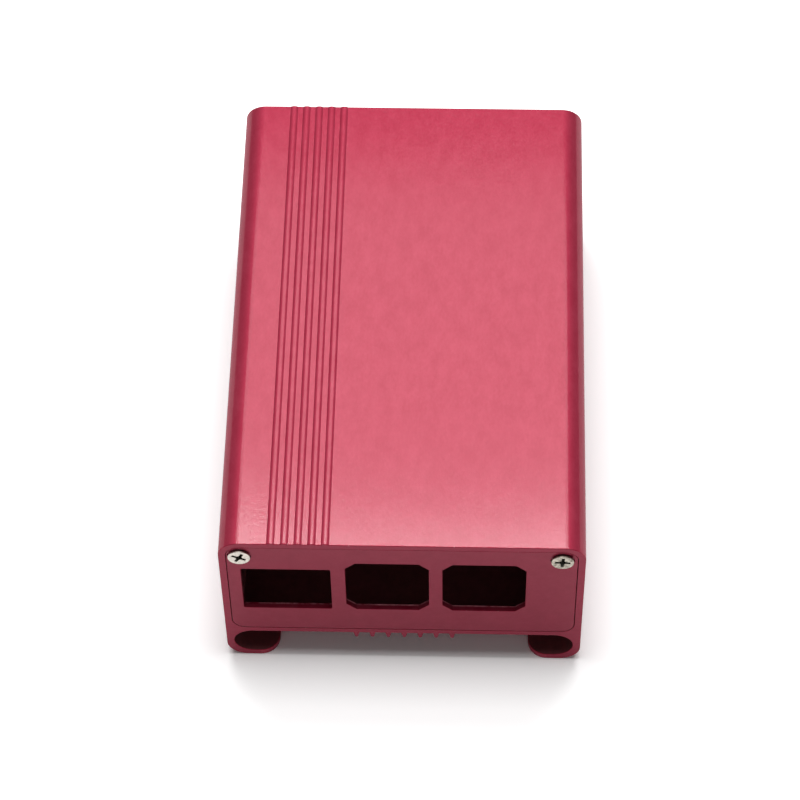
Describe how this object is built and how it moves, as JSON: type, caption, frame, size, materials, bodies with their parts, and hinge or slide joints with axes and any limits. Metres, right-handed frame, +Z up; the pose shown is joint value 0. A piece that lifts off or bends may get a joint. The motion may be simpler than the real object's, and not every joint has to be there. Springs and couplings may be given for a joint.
{
  "type": "single-board computer case",
  "caption": "Extruded aluminium sleeve case for a small single-board computer, with C-shaped feet, floor fins, top ribs and screwed end plates with port openings.",
  "frame": {"origin": "middle of the footprint, on the plane that the feet rest on", "axes": "+Z up out of the ribbed top, -Y out of the port plate, +X to the right seen from the port plate; the length runs along Y"},
  "size_m": [0.0676, 0.1044, 0.0402],
  "materials": {
    "anodised_sleeve": "bead-blasted and red anodised, satin",
    "anodised_plate": "red anodised sheet, satin",
    "nickel_screw": "nickel plated, soft gloss"
  },
  "bodies": {
    "root": {"sleeve": "anodised_sleeve", "port_plate": "anodised_plate", "plain_plate": "anodised_plate", "port_screw_left": "nickel_screw", "port_screw_right": "nickel_screw", "plain_screw_left": "nickel_screw", "plain_screw_right": "nickel_screw"}
  },
  "joints": []
}
